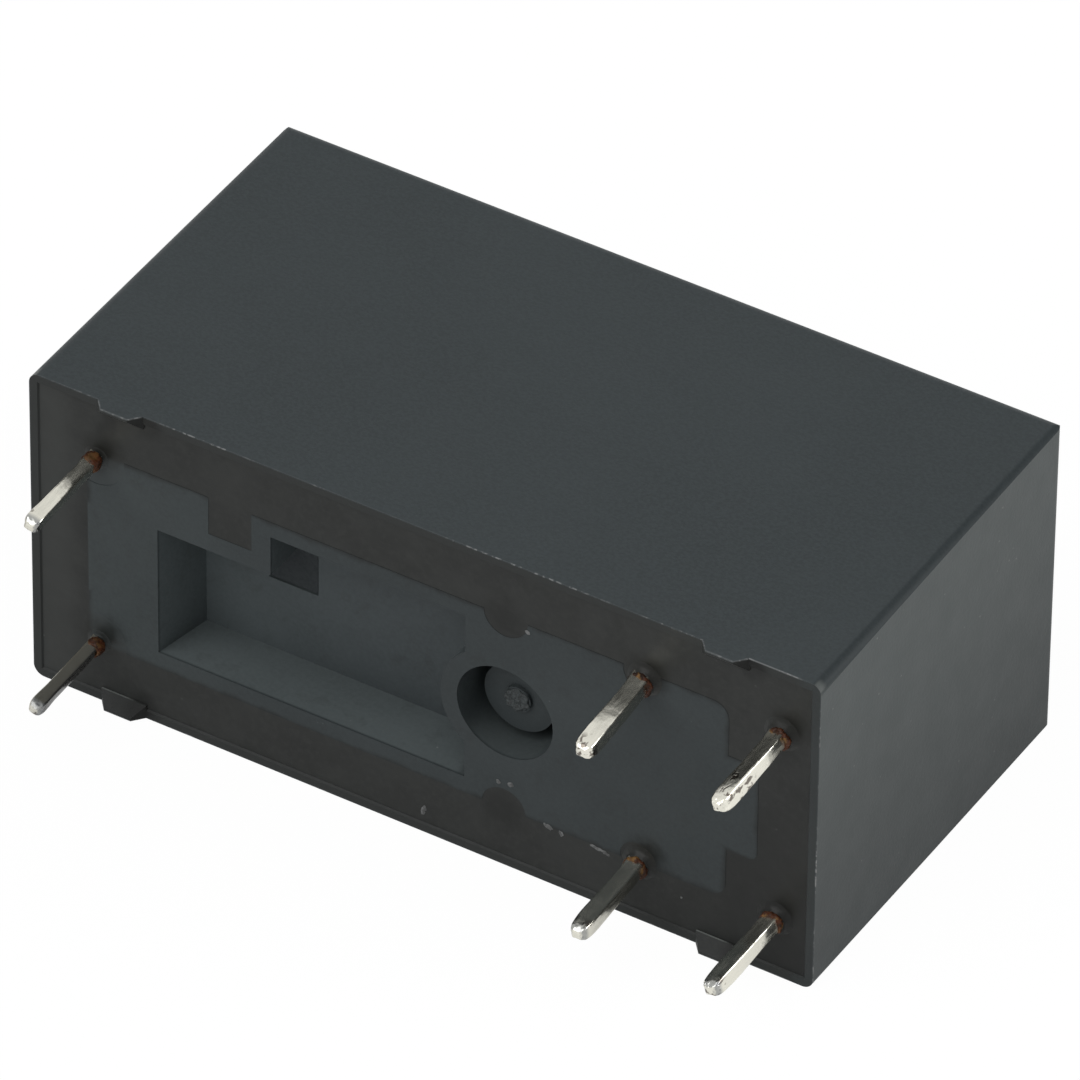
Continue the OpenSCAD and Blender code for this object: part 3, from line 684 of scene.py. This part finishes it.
def metal_finish(name, colour, roughness, stretch, tarnish, metallic=1.0, specular=0.5):
    """A drawn or rolled metal with its lines and tarnish."""
    net, shader, place = new_finish(name, metallic=metallic, specular=specular)
    lines = net.group("Drawn lines", place=place, stretch=stretch, size=2.6)
    cloud = net.cloud(place, 0.5, 0.35, 0.7)
    tone = net.mix(net.times(lines["Mask"], 0.5), colour, shade(colour, 0.8))
    tone = net.mix(net.times(cloud, 0.5), tone, tarnish)
    rough = net.span(lines["Mask"], 0.0, 1.0, roughness, roughness + 0.14)
    return complete(net, shader, tone, rough, lines["Height"], 0.00001, 0.4)


def moulded_finish(name, colour, roughness):
    """A plain inner moulding with grain and clouding."""
    net, shader, place = new_finish(name, specular=0.35)
    grain = net.group("Moulded grain", place=place, grain=6.0, peel=1.2)
    cloud = net.cloud(place, 0.4, 0.3, 0.7)
    tone = net.mix(cloud, shade(colour, 0.88), shade(colour, 1.08))
    tone = net.mix(net.times(grain["Tone"], 0.2), tone, shade(colour, 1.2))
    rough = net.span(grain["Height"], 0.3, 0.7, roughness - 0.05, roughness + 0.05)
    return complete(net, shader, tone, rough, grain["Height"], 0.00001, 0.5)


def wound_wire():
    """Close turns of enamelled wire round the bobbin."""
    net, shader, place = new_finish("Enamelled wire", metallic=0.85, coat=0.5, coat_roughness=0.15)
    along = net.axes(place)["X"]
    turns = net.size(net.math("SINE", net.times(along, math.pi / WIRE)))
    drift = net.cloud(place, 0.9, 0.3, 0.7)
    copper = net.mix(drift, (0.42, 0.17, 0.06), (0.55, 0.25, 0.10))
    tone = net.mix(net.span(turns, 0.45, 0.05), copper, (0.10, 0.035, 0.012))
    return complete(net, shader, tone, net.span(drift, 0.0, 1.0, 0.24, 0.34), turns, 0.00004, 0.8)


def coil_wrap():
    """Amber tape with one lapped edge and fine wrinkles."""
    net, shader, place = new_finish("Coil tape", coat=0.3)
    height = net.axes(place)["Z"]
    lap = net.span(net.ragged(height, place, 0.8, 0.3, 2.0), 0.3, 0.36)
    wrinkle = net.group("Drawn lines", place=place, stretch=(0.25, 2.5, 2.5), size=1.2)
    tone = net.mix(lap, (0.50, 0.27, 0.035), (0.40, 0.20, 0.022))
    tone = net.mix(net.times(wrinkle["Mask"], 0.35), tone, (0.62, 0.38, 0.08))
    return complete(net, shader, tone, net.span(wrinkle["Mask"], 0.0, 1.0, 0.22, 0.36),
                    net.plus(wrinkle["Height"], lap), 0.00003, 0.5)


# Modelling, with one unit for a millimetre until a piece is settled


def mode(name):
    bpy.ops.object.mode_set(mode=name)


def clear_pick():
    if bpy.context.mode != "OBJECT":
        mode("OBJECT")
    bpy.ops.object.select_all(action="DESELECT")


def work_on(piece):
    clear_pick()
    piece.select_set(True)
    bpy.context.view_layer.objects.active = piece


def place_blank(name):
    """Takes the primitive just added, and moves its place into its mesh."""
    blank = bpy.context.object
    blank.name = name
    blank.data.name = name
    bpy.ops.object.transform_apply()
    return blank


def pick_points(piece, test):
    bpy.ops.mesh.select_mode(type="VERT")
    bpy.ops.mesh.select_all(action="DESELECT")
    shape = bmesh.from_edit_mesh(piece.data)
    for point in shape.verts:
        point.select_set(bool(test(point.co)))
    shape.select_flush(True)
    bmesh.update_edit_mesh(piece.data)


def pick_faces(piece, limit):
    """Picks the faces that look the way of the pins."""
    bpy.ops.mesh.select_mode(type="FACE")
    bpy.ops.mesh.select_all(action="DESELECT")
    shape = bmesh.from_edit_mesh(piece.data)
    for face in shape.faces:
        face.select_set(face.normal.y < limit)
    bmesh.update_edit_mesh(piece.data)


def slice_at(height, **options):
    """Cuts the whole mesh across at a height along the pins."""
    bpy.ops.mesh.select_all(action="SELECT")
    bpy.ops.mesh.bisect(plane_co=(0, height, 0), plane_no=(0, 1, 0), **options)


def finish_with(piece, kind, **options):
    """Adds a modifier and applies it."""
    modifier = piece.modifiers.new(kind.title(), kind)
    for name, value in options.items():
        setattr(modifier, name, value)
    if kind == "SUBSURF":
        modifier.render_levels = modifier.levels
    work_on(piece)
    bpy.ops.object.modifier_apply(modifier=modifier.name)


def roughen(piece, name, size, strength, depth=2, level=0.5, group=""):
    """Makes a piece uneven by a cloud pattern of that name."""
    pattern = bpy.data.textures.get(name) or bpy.data.textures.new(name, "CLOUDS")
    pattern.noise_scale = size
    pattern.noise_depth = depth
    finish_with(piece, "DISPLACE", texture=pattern, strength=strength, mid_level=level,
                texture_coords="LOCAL", vertex_group=group)


def join_pieces(pieces):
    clear_pick()
    for piece in pieces:
        piece.select_set(True)
    bpy.context.view_layer.objects.active = pieces[0]
    bpy.ops.object.join()
    return pieces[0]


def coat(mesh, material):
    mesh.materials.clear()
    mesh.materials.append(material)


def dress(node, material):
    """Gives a CAD node its finish."""
    coat(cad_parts[node].data, material)


def to_real_size(piece, material, angle):
    """Brings a piece to its real size, smooths it and gives it its finish."""
    work_on(piece)
    piece.scale = (1 / MM, 1 / MM, 1 / MM)
    bpy.ops.object.transform_apply()
    bpy.ops.object.shade_smooth_by_angle(angle=math.radians(angle))
    coat(piece.data, material)


def settle(piece, material, body, angle):
    """Finishes a piece and ties it to its body."""
    to_real_size(piece, material, angle)
    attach(piece, body)


def copy_of_node(node, name):
    """A merged copy of a CAD node's mesh, in millimetres."""
    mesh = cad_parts[node].data.copy()
    mesh.name = name
    piece = bpy.data.objects.new(name, mesh)
    bpy.context.scene.collection.objects.link(piece)
    work_on(piece)
    piece.scale = (MM, MM, MM)
    bpy.ops.object.transform_apply()
    mode("EDIT")
    bpy.ops.mesh.select_all(action="SELECT")
    bpy.ops.mesh.remove_doubles(threshold=0.0005)
    mode("OBJECT")
    return piece


def root_place(i):
    """Middle of a pin where it leaves the resin."""
    x, z = PIN_PLACES[i]
    share = settings().pins.lean * ROOT_SHARE
    return x + PIN_LEANS[i][0] * share, z + PIN_LEANS[i][1] * share


def dipped_pin(name, i, wide, deep, edge):
    """One square pin under its smooth coat of tin, with a domed tip, from inside the resin down."""
    pins = settings().pins
    x, z = PIN_PLACES[i]
    aside = Vector((PIN_LEANS[i][0], 0, PIN_LEANS[i][1])) * pins.lean
    wave = pins.wave * MM
    tip = PIN_TIP + wave * 0.8
    top = RESIN_Y + PIN_ROOT
    girth = PIN_GIRTHS[i]
    clear_pick()
    bpy.ops.mesh.primitive_cube_add(
        size=1, location=(x, (top + tip) / 2, z), scale=(wide * girth, top - tip, deep * girth),
        rotation=(0, math.radians(PIN_TURNS[i]), 0))
    pin = place_blank(name)
    mode("EDIT")
    for station, _ in PIN_SWELL[1:]:
        slice_at(tip + station, threshold=0.001)
    for n, (station, size) in enumerate(PIN_SWELL):
        if i < COIL_PINS:
            size = size * COIL_BALL if station < 0.5 else min(size, 1.0)
        uneven = size + 0.015 * math.sin(i * 2.3 + n * 1.7)
        pick_points(pin, lambda point: abs(point.y - tip - station) < 0.01)
        bpy.ops.transform.resize(
            value=(uneven, 1, 2 * size - uneven), center_override=(x, tip + station, z))
        bpy.ops.transform.translate(value=aside * (1 - station / PIN_REACH * (1 - ROOT_SHARE)))
    pick_points(pin, lambda point: point.y < tip + 0.4)
    bpy.ops.object.vertex_group_add()
    bpy.ops.object.vertex_group_assign()
    group = pin.vertex_groups[0].name
    mode("OBJECT")
    finish_with(pin, "BEVEL", width=edge, segments=3, limit_method="ANGLE",
                angle_limit=math.radians(32))
    finish_with(pin, "SUBSURF", levels=3)
    roughen(pin, "solder_waves", 0.7, wave, depth=1)
    roughen(pin, "solder_drops", 0.16, wave * 1.4, depth=1, group=group)
    return pin


def cut_off_pins(piece, at):
    """Removes what lies below a height and closes the cut."""
    work_on(piece)
    mode("EDIT")
    slice_at(at, use_fill=True, clear_inner=True, threshold=0.0005)
    mode("OBJECT")


def tin_over(node, tin, numbers, wide, deep, edge):
    """A terminal whose pins are replaced by dipped ones."""
    top = copy_of_node(node, node + "_tinned")
    cut_off_pins(top, RESIN_Y + PIN_CUT)
    pins = [dipped_pin(f"{node}_pin_{i}", i, wide, deep, edge) for i in numbers]
    piece = join_pieces([top, *pins])
    settle(piece, tin, "case", 45)
    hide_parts(node)


# Operators


class RELAY_OT_case_plastics(bpy.types.Operator):
    """Give the cover, the base and the resin their finishes"""

    bl_idname = "relay.case_plastics"
    bl_label = "Case plastics"

    def execute(self, context):
        make_groups()
        dress("cover", cover_plastic())
        dress("base", base_plastic())
        dress("sealing_resin", casting_resin())
        return {"FINISHED"}


class RELAY_OT_inner_works(bpy.types.Operator):
    """Give the magnet, the coil and the contact set their finishes"""

    bl_idname = "relay.inner_works"
    bl_label = "Inner works"

    def execute(self, context):
        tones = settings().metals
        phosphate = metal_finish("Phosphated steel", (0.026, 0.030, 0.032), 0.6, (3, 3, 3),
                                 (0.022, 0.026, 0.028), 0.0, 0.1)
        bright = metal_finish("Magnet steel", tones.steel, 0.3, (1, 8, 8), shade(tones.steel, 0.6))
        bronze = metal_finish("Spring bronze", (0.60, 0.40, 0.20), 0.24, (6, 1, 6),
                              (0.40, 0.24, 0.11))
        silver = metal_finish("Contact silver", tones.silver, 0.22, (1, 3, 3), (0.45, 0.42, 0.36))
        dress("yoke", phosphate)
        for node in ("core", "armature"):
            dress(node, bright)
        for node in ("hinge_spring", "spring_rivets"):
            dress(node, bronze)
        for node in ("moving_contact", "fixed_contact"):
            dress(node, silver)
        wire = wound_wire()
        for node in ("coil_winding", "coil_lead_a", "coil_lead_b"):
            dress(node, wire)
        dress("coil_tape", coil_wrap())
        dress("bobbin", moulded_finish("Bobbin plastic", (0.030, 0.031, 0.033), 0.4))
        dress("card", moulded_finish("Card plastic", (0.62, 0.59, 0.52), 0.42))
        return {"FINISHED"}


class RELAY_OT_contact_leaf(bpy.types.Operator):
    """Model the contact spring as a leaf, cut across in steps from its root at the terminal"""

    bl_idname = "relay.contact_leaf"
    bl_label = "Contact leaf"

    def execute(self, context):
        low, high = box_mm("moving_spring")
        root = box_mm("com_terminal")[1].y
        leaf = copy_of_node("moving_spring", "contact_leaf")
        mode("EDIT")
        for step in range(1, LEAF_STEPS):
            slice_at(root + (high.y - root) * step / LEAF_STEPS, threshold=0.0005)
        mode("OBJECT")
        to_real_size(leaf, bpy.data.materials["Spring bronze"], 30)
        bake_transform(leaf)
        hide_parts("moving_spring")
        return {"FINISHED"}


class RELAY_OT_contact_terminals(bpy.types.Operator):
    """Model both contact terminals with their dipped pins"""

    bl_idname = "relay.contact_terminals"
    bl_label = "Contact terminals"

    def execute(self, context):
        tin = tinned_metal()
        for node, first in (("com_terminal", 2), ("no_terminal", 4)):
            tin_over(node, tin, (first, first + 1), SHEET, PIN_W, 0.075)
        return {"FINISHED"}


class RELAY_OT_coil_pins(bpy.types.Operator):
    """Model the two slim coil pins with their dipped tin"""

    bl_idname = "relay.coil_pins"
    bl_label = "Coil pins"

    def execute(self, context):
        tin = bpy.data.materials["Tinned metal"]
        for i, node in enumerate(("coil_pin_a", "coil_pin_b")):
            tin_over(node, tin, (i,), COIL_PIN, COIL_PIN, 0.1)
        return {"FINISHED"}


class RELAY_OT_resin_mounds(bpy.types.Operator):
    """Model the resin drawn up round each pin"""

    bl_idname = "relay.resin_mounds"
    bl_label = "Resin mounds"

    def execute(self, context):
        pins = settings().pins
        radius = pins.mound_r * MM
        height = pins.mound_h * MM
        mounds = []
        for i in range(len(PIN_PLACES)):
            x, z = root_place(i)
            size = radius * (COIL_MOUND if i < COIL_PINS else 1.0)
            rise = height * (COIL_RISE if i < COIL_PINS else 1.0)
            clear_pick()
            bpy.ops.mesh.primitive_cone_add(
                vertices=24, radius1=size, radius2=size * 0.75, depth=0.06,
                rotation=(math.pi / 2, 0, 0), location=(x, RESIN_Y + 0.011, z))
            mound = place_blank(f"resin_mound_{i}")
            mode("EDIT")
            for share, part in ((0.13, 0.25), (0.09, 0.35), (0.06, 0.4)):
                pick_faces(mound, -0.995)
                bpy.ops.mesh.inset(thickness=size * share, depth=rise * part)
            mode("OBJECT")
            finish_with(mound, "SUBSURF", levels=3)
            roughen(mound, "mound_lumps", 0.3, 0.03)
            mounds.append(mound)
        piece = join_pieces(mounds)
        piece.name = "resin_mounds"
        settle(piece, bpy.data.materials["Casting resin"], "case", 60)
        return {"FINISHED"}


class RELAY_OT_flux_collars(bpy.types.Operator):
    """Model the burnt flux that clings to the six pins above the resin"""

    bl_idname = "relay.flux_collars"
    bl_label = "Flux collars"

    def execute(self, context):
        pins = settings().pins
        radius = pins.flux_r * MM
        collars = []
        for i in range(len(PIN_PLACES)):
            x, z = root_place(i)
            share, start, more = COLLARS[i >= COIL_PINS]
            size = radius * PIN_GIRTHS[i] * share
            foot = RESIN_Y - pins.mound_h * MM * start
            height = pins.flux_h * MM + more
            aside = (0.04 * math.sin(i * 1.9) + 0.02, 0.04 * math.cos(i * 1.3))
            clear_pick()
            bpy.ops.mesh.primitive_cylinder_add(
                vertices=18, radius=size, depth=height + 0.1, rotation=(math.pi / 2, 0, 0),
                location=(x + aside[0], foot - height / 2 + 0.05, z + aside[1]))
            collar = place_blank(f"flux_collar_{i}")
            mode("EDIT")
            pick_faces(collar, -0.9)
            bpy.ops.mesh.inset(thickness=size * 0.3, depth=0.0)
            bpy.ops.mesh.inset(thickness=size * 0.2, depth=-0.06)
            pick_points(collar, lambda point: point.y < foot - height + 0.12)
            bpy.ops.transform.resize(value=(0.86, 1, 0.86), center_override=(x, foot - height, z))
            mode("OBJECT")
            finish_with(collar, "SUBSURF", levels=3)
            roughen(collar, "flux_lumps", 0.2, 0.11, level=0.55)
            collars.append(collar)
        piece = join_pieces(collars)
        piece.name = "flux_collars"
        settle(piece, amber_flux(), "case", 60)
        return {"FINISHED"}


class RELAY_OT_gate_scar(bpy.types.Operator):
    """Model the torn stub that the moulding gate left on its post"""

    bl_idname = "relay.gate_scar"
    bl_label = "Gate scar"

    def execute(self, context):
        clear_pick()
        bpy.ops.mesh.primitive_cylinder_add(
            vertices=16, radius=0.46, depth=0.16, rotation=(math.pi / 2, 0, 0),
            location=(GATE_X, GATE_END + 0.03, 0))
        scar = place_blank("gate_scar")
        mode("EDIT")
        pick_faces(scar, -0.9)
        for share, rise in ((0.12, 0.03), (0.12, -0.04), (0.1, 0.03)):
            bpy.ops.mesh.inset(thickness=share, depth=rise)
        mode("OBJECT")
        finish_with(scar, "SUBSURF", levels=3)
        roughen(scar, "torn_plastic", 0.16, 0.16)
        settle(scar, gate_break(), "case", 50)
        return {"FINISHED"}


class RELAY_OT_crumbs(bpy.types.Operator):
    """Scatter the few pale crumbs that lie on the sealed face"""

    bl_idname = "relay.crumbs"
    bl_label = "Crumbs"

    def execute(self, context):
        crumbs = []
        for i, (x, z, long, wide, turn) in enumerate(CRUMBS):
            clear_pick()
            ground = FACE_Y if abs(z) < 3.85 and x > -12 else RESIN_Y
            bpy.ops.mesh.primitive_ico_sphere_add(
                subdivisions=3, radius=1, location=(x, ground, z), scale=(long, CRUMB_RISE, wide),
                rotation=(0, math.radians(turn), 0))
            crumb = place_blank(f"crumb_{i}")
            mode("EDIT")
            pick_points(crumb, lambda point: point.x > x + long * 0.3)
            bpy.ops.transform.translate(value=(0, 0.012, wide * 0.3))
            mode("OBJECT")
            roughen(crumb, "torn_flash", 0.11, 0.09)
            crumbs.append(crumb)
        piece = join_pieces(crumbs)
        piece.name = "face_crumbs"
        settle(piece, pale_crumbs(), "case", 50)
        return {"FINISHED"}


class RELAY_OT_stage(bpy.types.Operator):
    """Set the pale floor, the soft light and the camera"""

    bl_idname = "relay.stage"
    bl_label = "Stage"

    def white_mix(self, net, plain, seen, mirrored, kind):
        """White to the camera and in reflections, each by its share, else the plain shader."""
        path = net.node("ShaderNodeLightPath")
        bounced = net.most(path.outputs["Is Glossy Ray"], path.outputs["Is Transmission Ray"])
        share = net.most(net.times(path.outputs["Is Camera Ray"], seen),
                         net.times(bounced, mirrored))
        white = net.node(kind)
        net.feed(white, color=WHITE, strength=1.0)
        return net.fill(net.node("ShaderNodeMixShader"), share, plain, white.outputs[0])[0]

    def execute(self, context):
        stage = settings().stage
        scene = context.scene
        scene.view_settings.view_transform = "Standard"

        clear_pick()
        bpy.ops.mesh.primitive_plane_add(size=3, location=(0, 0, CAD_BOX[0][2] - 0.00002))
        floor = bpy.context.object
        floor.name = "floor"
        paper = bpy.data.materials.new("Floor paper")
        paper.use_nodes = True
        net = Net(paper.node_tree)
        plain = net.node("ShaderNodeBsdfDiffuse")
        place = net.vector("SCALE", net.node("ShaderNodeTexCoord").outputs["Object"], scale=40.0)
        tone = net.mix(net.noise(place, 3.0), (0.90, 0.90, 0.90), (0.93, 0.93, 0.93))
        net.put(plain.inputs["Color"], tone)
        output = net.node("ShaderNodeOutputMaterial")
        white = self.white_mix(net, plain.outputs[0], 0.97, 0.2, "ShaderNodeEmission")
        net.put(output.inputs["Surface"], white)
        floor.data.materials.append(paper)

        world = bpy.data.worlds.new("Even light")
        world.use_nodes = True
        scene.world = world
        net = Net(world.node_tree)
        sky = net.node("ShaderNodeBackground")
        net.feed(sky, color=WHITE, strength=stage.sky)
        output = net.node("ShaderNodeOutputWorld")
        white = self.white_mix(net, sky.outputs[0], 1, 1, "ShaderNodeBackground")
        net.put(output.inputs["Surface"], white)

        for (name, spot, size), power in zip(LAMPS, (stage.key, stage.fill)):
            bpy.ops.object.light_add(type="AREA", location=spot)
            lamp = bpy.context.object
            lamp.name = name
            lamp.data.size = size
            lamp.data.energy = power
            away = Vector(spot) - Vector(LIT_POINT)
            lamp.rotation_euler = away.to_track_quat("Z", "Y").to_euler()

        level = math.cos(stage.elevation)
        back = Vector((math.sin(stage.azimuth) * level, -math.cos(stage.azimuth) * level,
                       math.sin(stage.elevation)))
        right = (-back).cross(Vector((0, 0, 1))).normalized()
        up = back.cross(right)
        right, up = (right * math.cos(stage.roll) + up * math.sin(stage.roll),
                     up * math.cos(stage.roll) - right * math.sin(stage.roll))
        bpy.ops.object.camera_add()
        camera = bpy.context.object
        camera.name = "view"
        turn = Matrix((right, up, back)).transposed().to_4x4()
        stand = Vector(stage.target) + back * stage.distance
        camera.matrix_world = Matrix.Translation(stand) @ turn
        camera.data.sensor_width = 36
        camera.data.lens = stage.lens
        camera.data.clip_start = 0.01
        scene.camera = camera
        return {"FINISHED"}


STEPS = (
    RELAY_OT_case_plastics, RELAY_OT_inner_works, RELAY_OT_contact_leaf,
    RELAY_OT_contact_terminals, RELAY_OT_coil_pins, RELAY_OT_resin_mounds,
    RELAY_OT_flux_collars, RELAY_OT_gate_scar, RELAY_OT_crumbs, RELAY_OT_stage,
)


class RELAY_PT_panel(bpy.types.Panel):
    """Lists the relay's settings and steps"""

    bl_idname = "RELAY_PT_panel"
    bl_label = "PCB power relay"
    bl_space_type = "VIEW_3D"
    bl_region_type = "UI"
    bl_category = "Relay"

    def draw(self, context):
        relay = context.scene.relay
        for part in (relay.plastics, relay.metals, relay.pins, relay.stage):
            column = self.layout.box().column()
            for name in part.__annotations__:
                column.prop(part, name)
        for step in STEPS:
            self.layout.operator(step.bl_idname)


CLASSES = (RelayPlastics, RelayMetals, RelayPins, RelayStage, RelaySettings, *STEPS, RELAY_PT_panel)


def register():
    for item in CLASSES:
        bpy.utils.register_class(item)
    bpy.types.Scene.relay = PointerProperty(type=RelaySettings)


def unregister():
    del bpy.types.Scene.relay
    for item in reversed(CLASSES):
        bpy.utils.unregister_class(item)


def main():
    register()
    for step in STEPS:
        group, name = step.bl_idname.split(".")
        getattr(getattr(bpy.ops, group), name)()
    clear_pick()


if __name__ == "__main__":
    main()
